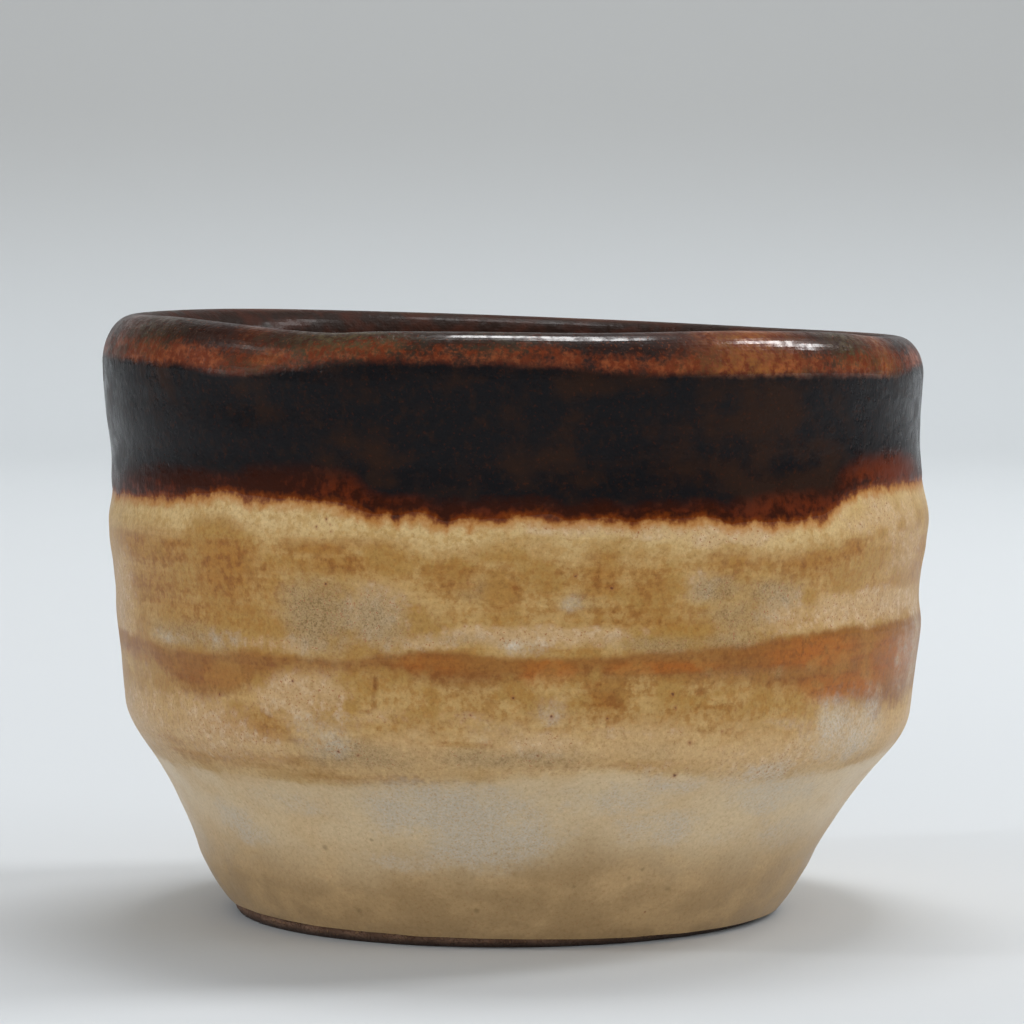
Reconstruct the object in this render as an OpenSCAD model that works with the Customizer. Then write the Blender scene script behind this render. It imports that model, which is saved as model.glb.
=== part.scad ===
// Guinomi: a small wheel-thrown sake cup of stoneware, glazed in bands.
// The body and its coats of glaze are turned about one axis, which leans a little towards +X.
// The cup stands on the level ring of its bare clay foot: z = 0 is the table, +Z is up, and
// the origin is the middle of the cup's outline seen from above. All sizes are millimetres.
// Heights are taken along the cup's own axis, from the foot.

/* [Cup] */
// Radius of the cup at its lip and its belly, where it is widest
cup_r = 33; // [32:0.25:37]
// Height of the rim's crest
cup_h = 47.25; // [44:0.25:60]
// Lean of the thrown body towards +X, in degrees
lean = 1; // [0:0.25:2]

/* [Lip] */
// Thickness of the rounded lip
lip_w = 4.6; // [3.5:0.1:6]
// Height of the lip's rounding, from the end of the wall to the crest
lip_h = 3; // [2:0.25:4]

/* [Outside wall] */
// How far the waist under the lip is drawn in from the widest radius
waist_in = 0.5; // [0:0.05:1.5]
// Height of the waist
waist_z = 37; // [36:0.5:39]
// Height of the belly
belly_z = 31.5; // [29:0.5:34]
// How far the wall below the belly is drawn in from the widest radius
wall_in = 0.6; // [0:0.05:1.5]
// Height of that part of the wall
wall_z = 26; // [23:0.5:28]
// How far the heel of the wall is drawn in from the widest radius
heel_in = 1.15; // [0.5:0.05:1.75]
// Height of the heel, just over the tight turn to the base
heel_z = 18; // [17:0.5:20]
// How far the middle of the tight turn is drawn in from the widest radius
turn_in = 1.95; // [1.8:0.05:2.5]
// Height of the middle of the tight turn
turn_z = 15; // [14:0.25:16]

/* [Base] */
// Radius of the foot over its rounded edge
foot_r = 24.45; // [23.5:0.25:25.5]
// Height of the foot over its rounded edge
foot_z = 4; // [3:0.25:5]
// How much wider than the foot the lower end of the taper is
taper_low_out = 0.9; // [0.5:0.1:1.5]
// Height of the lower end of the taper
taper_low_z = 6.5; // [6:0.25:8]
// How much wider than the foot the upper end of the taper is
taper_top_out = 3.6; // [2.5:0.1:4.5]
// Height of the upper end of the taper
taper_top_z = 11; // [10:0.5:12]
// How far the foot's rounded edge runs in to the line where the glaze stops
glaze_line_in = 2.1; // [1.5:0.1:2.5]
// Height of the line where the outside glaze stops
glaze_line_z = 0.8; // [0.5:0.1:1.5]
// Width of the bare bevel from the glaze line in to the standing ring
bevel_w = 0.8; // [0.5:0.1:1.5]
// Width of the bare ring that the cup stands on
ring_w = 4.5; // [3:0.25:7]
// Depth of the recess inside the ring
recess_h = 2.2; // [1.5:0.1:3]
// Radius of the rounded corner of the recess
recess_corner_r = 1.2; // [0.5:0.1:1.4]

/* [Well] */
// Thickness of the wall at the belly and the waist, glaze included
wall_t = 4.3; // [3:0.1:5.5]
// How far in from the cup's widest radius the well's wall turns into the bowl
bowl_in = 5.6; // [4.5:0.1:7.5]
// Height at which the wall of the well turns into the bowl
bowl_top_z = 21; // [18:0.5:25]
// Height of the well's floor at its middle
floor_z = 8.4; // [7:0.2:11]
// Squareness of the bowl: 1 is an ellipse, less is squarer
bowl_form = 0.8; // [0.7:0.05:1]

/* [Glaze] */
// Thickness of every coat of glaze
glaze_t = 0.5; // [0.3:0.05:0.8]
// Depth to which the iron stripe has sunk into the straw glaze
stripe_t = 0.25; // [0.1:0.05:0.25]
// Height at which the pale glaze ends and the straw glaze starts
straw_z = 13.4; // [12.5:0.1:14.5]
// Height of the lower edge of the iron stripe
stripe_z = 21; // [19:0.5:23]
// Width of the iron stripe
stripe_w = 2.6; // [1:0.1:5]
// Height of the lower edge of the dark glaze
dark_z = 34; // [30:0.5:40]

/* [Hidden] */

// Facets of a full turn, and the spacing of the outline's points along the axis
$fn = 128;
point_step = 0.75;
// Points round the lip's half ellipse, along the bowl, and in the recess's corner
lip_steps = 20;
bowl_steps = 24;
corner_steps = 6;
// How far the clay reaches below the foot before it is cut level, and the size of that cut
foot_stock = 2;
cut_size = 4 * cup_r;
// Slope, radius over height, of the outside wall where its glaze stops
glaze_line_slope = 0.9;

// The wall ends and the lip's rounding starts here
lip_z = cup_h - lip_h;
lip_mid_r = cup_r - lip_w / 2;
well_r = cup_r - bowl_in;
bowl_h = bowl_top_z - floor_z;
stripe_top_z = stripe_z + stripe_w;

// Knots of the outside and inside walls: height, radius
OUTER_KNOTS = [
    [glaze_line_z, foot_r - glaze_line_in],
    [foot_z, foot_r],
    [taper_low_z, foot_r + taper_low_out],
    [taper_top_z, foot_r + taper_top_out],
    [turn_z, cup_r - turn_in],
    [heel_z, cup_r - heel_in],
    [wall_z, cup_r - wall_in],
    [belly_z, cup_r],
    [waist_z, cup_r - waist_in],
    [lip_z, cup_r]
];
INNER_KNOTS = [
    [bowl_top_z, well_r],
    [belly_z, cup_r - wall_t],
    [waist_z, cup_r - waist_in - wall_t],
    [lip_z, cup_r - lip_w]
];
// Edges of the coats on the outside, from the foot to the lip
COAT_EDGES = [glaze_line_z, straw_z, stripe_z, stripe_top_z, dark_z, lip_z];

// --- curves -----------------------------------------------------------------------------

// The span of the knots that holds height z
function span(knots, z, i = 0) =
    i >= len(knots) - 2 || z <= knots[i + 1][0] ? i : span(knots, z, i + 1);

// Slope at knot i: that of the chord between its neighbours, or the given slope at an end
function knot_slope(knots, i, low, high) =
    i == 0 ? low
    : i == len(knots) - 1 ? high
    : (knots[i + 1][1] - knots[i - 1][1]) / (knots[i + 1][0] - knots[i - 1][0]);

// Radius and slope at height z of the smooth cubic curve through the knots
function curve(knots, z, low, high) =
    let (i = span(knots, z))
    let (h = knots[i + 1][0] - knots[i][0], t = (z - knots[i][0]) / h)
    let (r0 = knots[i][1], r1 = knots[i + 1][1])
    let (m0 = knot_slope(knots, i, low, high), m1 = knot_slope(knots, i + 1, low, high))
    [
        (2 * t ^ 3 - 3 * t ^ 2 + 1) * r0 + (t ^ 3 - 2 * t ^ 2 + t) * h * m0
            + (3 * t ^ 2 - 2 * t ^ 3) * r1 + (t ^ 3 - t ^ 2) * h * m1,
        6 * (t ^ 2 - t) * (r0 - r1) / h + (3 * t ^ 2 - 4 * t + 1) * m0 + (3 * t ^ 2 - 2 * t) * m1
    ];

function unit(v) = v / norm(v);

function reverse(list) = [for (i = [len(list) - 1:-1:0]) list[i]];

// The outline without the points that repeat the one before
function distinct(points) =
    [for (i = [0:len(points) - 1]) if (i == 0 || points[i] != points[i - 1]) points[i]];

// Point of the outside wall at height z, at a depth under the finished surface
function outer_at(z, depth) =
    let (c = curve(OUTER_KNOTS, z, glaze_line_slope, 0))
    [c[0], z] - depth * unit([1, -c[1]]);

// Point of the inside wall at height z, at a depth under the finished surface
function inner_at(z, depth) =
    let (c = curve(INNER_KNOTS, z, 0, 0))
    [c[0], z] + depth * unit([1, -c[1]]);

// Point of the lip's half ellipse, from 0 degrees outside to 180 inside
function lip_at(angle, depth) =
    [lip_mid_r + (lip_w / 2 - depth) * cos(angle), lip_z + (lip_h - depth) * sin(angle)];

// Point of the bowl, from 0 degrees at the wall of the well to 90 on the axis
function bowl_at(angle, depth) =
    let (side = bowl_h * cos(angle) ^ (2 - bowl_form), down = well_r * sin(angle) ^ (2 - bowl_form))
    [well_r * cos(angle) ^ bowl_form, bowl_top_z - bowl_h * sin(angle) ^ bowl_form]
        + depth * unit([side, -down]);

// --- runs of the outline ------------------------------------------------------------------

function step_count(length) = max(2, ceil(abs(length) / point_step));

function outer_run(z0, z1, depth) =
    let (n = step_count(z1 - z0))
    [for (i = [0:n]) outer_at(z0 + (z1 - z0) * i / n, depth)];

// The whole outside wall, with a point at the edge of every coat
function outer_wall(depth) =
    [for (i = [1:len(COAT_EDGES) - 1]) each outer_run(COAT_EDGES[i - 1], COAT_EDGES[i], depth)];

function lip_run(depth) = [for (i = [0:lip_steps]) lip_at(180 * i / lip_steps, depth)];

// The inside wall from the lip down, then the bowl to the axis
function well_run(depth) =
    let (n = step_count(lip_z - bowl_top_z))
    [
        for (i = [0:n]) inner_at(lip_z + (bowl_top_z - lip_z) * i / n, depth),
        for (i = [1:bowl_steps]) bowl_at(90 * i / bowl_steps, depth)
    ];

// The clay where the glaze stops, and the bare standing ring inside it
glaze_line = outer_at(glaze_line_z, glaze_t);
ring_out_r = glaze_line[0] - bevel_w;
ring_in_r = ring_out_r - ring_w;

// The recess under the foot, from the axis out to the inner edge of the standing ring
function recess_run() = [
    [0, recess_h],
    for (i = [0:corner_steps])
        let (a = 90 - 90 * i / corner_steps)
        [
            ring_in_r - recess_corner_r + recess_corner_r * cos(a),
            recess_h - recess_corner_r + recess_corner_r * sin(a)
        ],
    [ring_in_r, -foot_stock]
];

// The foot of the bare bevel, which runs on below the table until it is cut level
bevel_foot = [ring_out_r - bevel_w * foot_stock / glaze_line[1], -foot_stock];

// --- placing ------------------------------------------------------------------------------

// Reach of the leaning outline to either side of its axis's foot point
function reach(side) =
    max([for (p = concat(outer_wall(0), lip_run(0))) p[0] * cos(lean) + side * p[1] * sin(lean)]);

foot_x = (reach(-1) - reach(1)) / 2;

// Turns an outline about the cup's leaning axis
module turned(outline) {
    translate([foot_x, 0, 0])
        rotate([0, lean, 0])
            rotate_extrude()
                polygon(distinct(outline));
}

// A coat between two heights of the outside wall
module band(z0, z1, depth) {
    turned(concat(outer_run(z0, z1, 0), reverse(outer_run(z0, z1, depth))));
}

// --- the pieces ---------------------------------------------------------------------------

// The thrown body: wall, floor and foot in one piece of clay, cut level under the foot
module clay_body() {
    color("rosybrown")
        difference() {
            turned(concat(
                recess_run(), [bevel_foot], outer_wall(glaze_t), lip_run(glaze_t), well_run(glaze_t)
            ));
            translate([-cut_size / 2, -cut_size / 2, -cut_size])
                cube([cut_size, cut_size, cut_size]);
        }
}

// The smooth pale coat on the base
module pale_glaze() {
    color("tan") band(glaze_line_z, straw_z, glaze_t);
}

// The mottled straw coat on the wall, thinner where the stripe has sunk into it
module straw_glaze() {
    color("burlywood")
        turned(concat(
            outer_run(straw_z, stripe_z, 0),
            outer_run(stripe_z, stripe_top_z, stripe_t),
            outer_run(stripe_top_z, dark_z, 0),
            reverse(outer_run(stripe_top_z, dark_z, glaze_t)),
            reverse(outer_run(stripe_z, stripe_top_z, glaze_t)),
            reverse(outer_run(straw_z, stripe_z, glaze_t))
        ));
}

// The brushed stripe of iron pigment round the wall
module iron_stripe() {
    color("peru") band(stripe_z, stripe_top_z, stripe_t);
}

// The black-brown band under the lip
module dark_glaze() {
    color([0.12, 0.1, 0.1]) band(dark_z, lip_z, glaze_t);
}

// The rust-brown coat over the rounded lip
module lip_glaze() {
    color("saddlebrown") turned(concat(lip_run(0), reverse(lip_run(glaze_t))));
}

// The dark liner of the well
module inner_glaze() {
    color([0.3, 0.18, 0.13]) turned(concat(well_run(0), reverse(well_run(glaze_t))));
}

clay_body();
pale_glaze();
straw_glaze();
iron_stripe();
dark_glaze();
lip_glaze();
inner_glaze();
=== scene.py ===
"""Guinomi: a small wheel-thrown sake cup of stoneware, glazed in bands.

The cup is one thrown body of clay and six coats of glaze. Each of them is laid out flat first, as a
skin of turn angle, radius and height, and is then turned about the cup's leaning axis by a Geometry
Nodes tree that adds the marks of the potter's hand. Sizes here are millimetres and degrees, as in the
part's source, and meshes are metres. Turn angle 0 is +X and -90 faces the camera. Heights are taken
along the cup's own axis, from the foot.
"""

import math

import bpy
import numpy as np
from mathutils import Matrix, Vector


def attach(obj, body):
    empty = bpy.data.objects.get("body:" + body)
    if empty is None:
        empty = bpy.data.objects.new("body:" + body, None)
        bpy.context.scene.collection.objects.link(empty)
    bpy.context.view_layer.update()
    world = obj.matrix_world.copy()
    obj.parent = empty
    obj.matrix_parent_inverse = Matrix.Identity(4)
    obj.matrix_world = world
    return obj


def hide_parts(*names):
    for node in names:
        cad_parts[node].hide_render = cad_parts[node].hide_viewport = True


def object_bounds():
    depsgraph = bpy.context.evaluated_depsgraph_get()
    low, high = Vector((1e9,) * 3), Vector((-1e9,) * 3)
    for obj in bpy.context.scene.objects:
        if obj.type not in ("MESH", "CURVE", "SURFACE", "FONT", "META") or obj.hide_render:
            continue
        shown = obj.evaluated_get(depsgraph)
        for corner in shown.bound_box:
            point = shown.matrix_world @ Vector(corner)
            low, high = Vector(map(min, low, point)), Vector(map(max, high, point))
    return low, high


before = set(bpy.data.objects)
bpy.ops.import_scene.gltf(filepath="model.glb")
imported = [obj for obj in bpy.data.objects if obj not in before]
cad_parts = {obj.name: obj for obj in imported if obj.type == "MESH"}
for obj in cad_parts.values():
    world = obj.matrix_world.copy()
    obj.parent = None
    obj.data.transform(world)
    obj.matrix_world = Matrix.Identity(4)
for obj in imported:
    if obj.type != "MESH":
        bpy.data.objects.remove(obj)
cad_low, cad_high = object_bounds()

MM = 0.001

# --- sizes of the form, shared with the part's source ---
CUP_R = round((cad_high.y - cad_low.y) / 2 / MM, 2)
LEAN = 1.0
FOOT_X = -0.7
LIP_W = 4.6
LIP_H = 3.4
# The lip is lower and thinner at +X than at -X by twice these
LIP_H_SWING = 0.45
LIP_W_SWING = 0.3
FOOT_R = 24.45
FOOT_IN = 2.1
GLAZE_LINE_Z = 0.8
GLAZE_LINE_SLOPE = 0.9
GLAZE_T = 0.5
STRIPE_T = 0.25
DARK_ROLL_T = 0.12
DARK_ROLL_Z = 1.2
BEVEL_W = 0.8
RING_W = 4.5
RING_EDGE_R = 0.3
RECESS_H = 2.2
RECESS_CORNER_R = 1.2
RECESS_RINGS = (1.5, 3.0, 4.5, 6.0, 7.5, 9.0, 10.5, 12.0, 13.2, 14.2, 15.0)
WALL_T = 4.3
WELL_R = CUP_R - 5.6
BOWL_TOP_Z = 21.0
FLOOR_Z = 8.4
BOWL_FORM = 0.8
WAIST_IN = 0.5
# A thumb has pressed the lip out and dented the wall under it
THUMB_TURN, THUMB_HALF, THUMB_OUT = -129, 7.5, 0.22
DENT_TURN, DENT_Z, DENT_HALF, DENT_HALF_H, DENT_DEPTH = -127, 41.5, 7, 1.6, 0.2

# Outside wall as it was thrown: height, radius. The rings of the fingers show at 24 to 30.
OUTSIDE = [
    (GLAZE_LINE_Z, FOOT_R - FOOT_IN), (4, FOOT_R), (6, 25.3), (8, 26.35), (10, 27.5), (12, 28.85), (14, 30.4),
    (15, 31.05), (16, 31.5), (17, 31.7), (20, 32), (22, 32.25), (24, 32.46), (26, 32.38), (28, 32.57),
    (30, 32.85), (32, 32.96), (35, 32.59), (37, 32.51), (40, 32.74), (44, CUP_R), (48, CUP_R),
]
INSIDE = [
    (BOWL_TOP_Z, WELL_R), (31.5, CUP_R - WALL_T), (37, CUP_R - WAIST_IN - WALL_T), (44.25, CUP_R - LIP_W),
    (48, CUP_R - LIP_W),
]
# Height of the rim's crest round the cup: turn angle, height
CREST = [
    (-180, 47.6), (-150, 47.7), (-135, 47.4), (-124, 47.05), (-116, 46.92), (-110, 47.1), (-94, 47.26),
    (-79, 47.3), (-60, 47.55), (-48, 47.55), (-36, 47.4), (-26, 47.1), (-14, 46.95), (0, 46.9), (30, 46.9),
    (46, 46.95), (75, 47.25), (108, 47.6), (140, 47.8),
]
# Sideways drift of the thrown wall from the axis: height, along X, along Y
DRIFT = [
    (0, -0.25, 0), (4, -0.25, 0.02), (10, 0.2, 0.08), (14, 0.5, 0.1), (16, 0.58, 0.1), (24, 0.55, 0.02),
    (27, 0.34, -0.05), (31, 0.35, -0.1), (33, 0.5, -0.1), (35, 0.3, -0.05), (40, -0.2, 0.1),
    (48, -0.26, 0.1),
]

# --- lines between the glazes: turn angle, height ---
DARK_LINE = [
    (-170, 33.55), (-154, 33.7), (-145, 34), (-137, 34.5), (-132, 34.8), (-128, 34.55), (-118, 34.5),
    (-113, 34.25), (-110, 33.8), (-106, 33.75), (-103, 33.9), (-100, 33.45), (-96, 33.6), (-91, 33.7),
    (-86, 34.05), (-83.5, 33.6), (-79, 33.8), (-76, 33.65), (-64, 33.75), (-61, 33.45), (-52, 33.35),
    (-49, 33.5), (-46, 33.8), (-43, 34.1), (-41, 34.9), (-38, 35.3), (-33, 35.6), (-26, 35.7), (-7, 35.55),
    (15, 34.95), (40, 35.2), (60, 34.3), (85, 34.35), (105, 33.45), (130, 34), (150, 33.5),
]
LIP_LINE = [
    (-163, 44.45), (-147, 44.2), (-140, 44.25), (-131, 43.75), (-127, 43.75), (-120, 44.3), (-114, 44.85),
    (-108, 45), (-91, 45), (-84, 44.85), (-77, 44.55), (-62, 44.45), (-41, 44.3), (-24, 44.3),
    (-13, 44.75), (20, 44.5), (50, 44.2), (80, 44.7), (110, 44.9), (140, 44.4),
]
STRIPE_TOP = [
    (-169, 22.75), (-158, 22.65), (-146, 22.35), (-135, 22.4), (-129, 22.85), (-121, 22.7), (-114, 22.7),
    (-106, 23.45), (-99, 23.7), (-93, 23.35), (-87, 23.25), (-77, 23.55), (-71, 23.85), (-59, 24.25),
    (-52, 24.65), (-39, 25), (-31, 24.9), (-11, 25.15), (30, 25.3), (70, 24.6), (110, 24), (150, 23.2),
]
STRIPE_FOOT = [
    (-157, 20.9), (-149, 20.1), (-141, 18.9), (-136, 19.1), (-130, 20.05), (-124, 21.3), (-117, 21.55),
    (-112, 21.9), (-106, 21.45), (-95, 20.95), (-89, 21.5), (-83, 21.75), (-77, 21.75), (-64, 21.3),
    (-51, 20.65), (-45, 19.4), (-38, 18.95), (-30, 18.1), (-20, 18.45), (10, 20.2), (45, 20.9), (90, 19.8),
    (130, 20.6), (170, 21.2),
]
STRAW_LINE = [
    (-162, 12.65), (-140, 12.85), (-121, 12.8), (-107, 13.15), (-93, 13.85), (-82, 14.55), (-68, 14.3),
    (-51, 13.4), (-37, 13.55), (-20, 14.1), (20, 13.6), (60, 12.9), (100, 13.4), (150, 13.1),
]
# Small runs where the dark glaze has crept down: turn angle, length, half width in degrees
DARK_RUNS = [
    (-141, 0.2, 1.2), (-129.5, 0.05, 0.9), (-106, 0.05, 1.2), (-99.5, 0.1, 1.3), (-92.5, 0.1, 1.2),
    (-84.3, 0.2, 1.2), (-75.5, 0.15, 1.2), (-61.8, 0.2, 1), (-54.9, 0.08, 0.8), (8, 0.4, 0.9),
    (33, 0.6, 0.9), (52, 0.4, 0.9), (77, 0.5, 0.8), (98, 0.6, 0.9), (121, 0.4, 0.8), (140, 0.6, 0.9),
    (163, 0.4, 0.8),
]
# Stains of dark glaze just below its edge: turn angle, height, half turn, half height, strength
STAINS = [
    (-106.1, 33.2, 0.6, 0.7, 0.9), (-104.2, 33, 0.5, 0.6, 0.7), (-96.6, 32.7, 0.5, 0.4, 0.9),
    (-99.6, 33, 0.4, 0.7, 0.7), (-128.4, 33.7, 0.8, 0.7, 0.7), (-126.5, 33.9, 1.6, 0.5, 0.6),
    (-120.5, 33, 1.6, 0.5, 0.5), (-86, 33.2, 0.9, 0.5, 0.8), (-91.8, 32.4, 0.4, 0.25, 0.6),
    (-91, 31.7, 0.5, 0.3, 0.7), (-54.8, 33, 0.25, 0.9, 0.6), (-78.6, 33.2, 0.7, 0.4, 0.6),
    (-113.5, 33.2, 2.2, 0.6, 0.7), (-109.2, 32.9, 1.4, 0.5, 0.7), (-102, 32.8, 1.5, 0.7, 0.6),
    (-138, 33.5, 3, 0.5, 0.5), (-66, 33.1, 2.5, 0.3, 0.4), (-46, 33, 2, 0.6, 0.6), (12, 33.6, 1, 0.9, 0.8),
    (36, 33.4, 0.8, 1, 0.8), (66, 33, 1.5, 0.7, 0.7), (97, 32.4, 0.8, 0.9, 0.9), (125, 33, 1.2, 0.7, 0.7),
    (151, 32.8, 1, 0.8, 0.8),
]

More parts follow.
